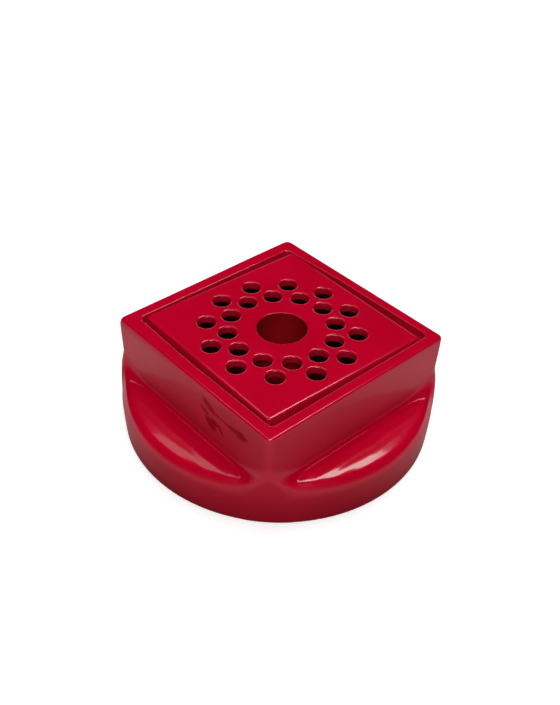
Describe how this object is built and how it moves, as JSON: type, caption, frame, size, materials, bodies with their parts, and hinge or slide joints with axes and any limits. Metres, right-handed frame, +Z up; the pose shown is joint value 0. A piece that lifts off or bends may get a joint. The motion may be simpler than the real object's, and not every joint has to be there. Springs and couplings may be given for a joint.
{
  "type": "flower frog",
  "caption": "Low glazed ceramic vase with a round base, a square mouth and a loose square insert pierced with stem holes around a candle cup.",
  "frame": {"origin": "centre of the foot ring, on the surface that the vase stands on", "axes": "+Z up; X and Y are square to the flats of the tower"},
  "size_m": [0.1444, 0.1444, 0.0495],
  "materials": {
    "vase_glaze": "gloss",
    "insert_glaze": "gloss"
  },
  "bodies": {
    "vase": {"vase_bowl": "vase_glaze"},
    "frog": {"frog_insert": "insert_glaze"}
  },
  "joints": [
    {"name": "frog_lift", "type": "slide", "parent": "vase", "child": "frog", "axis": [0, 0, 1], "range_m": [0, 0.06]}
  ]
}
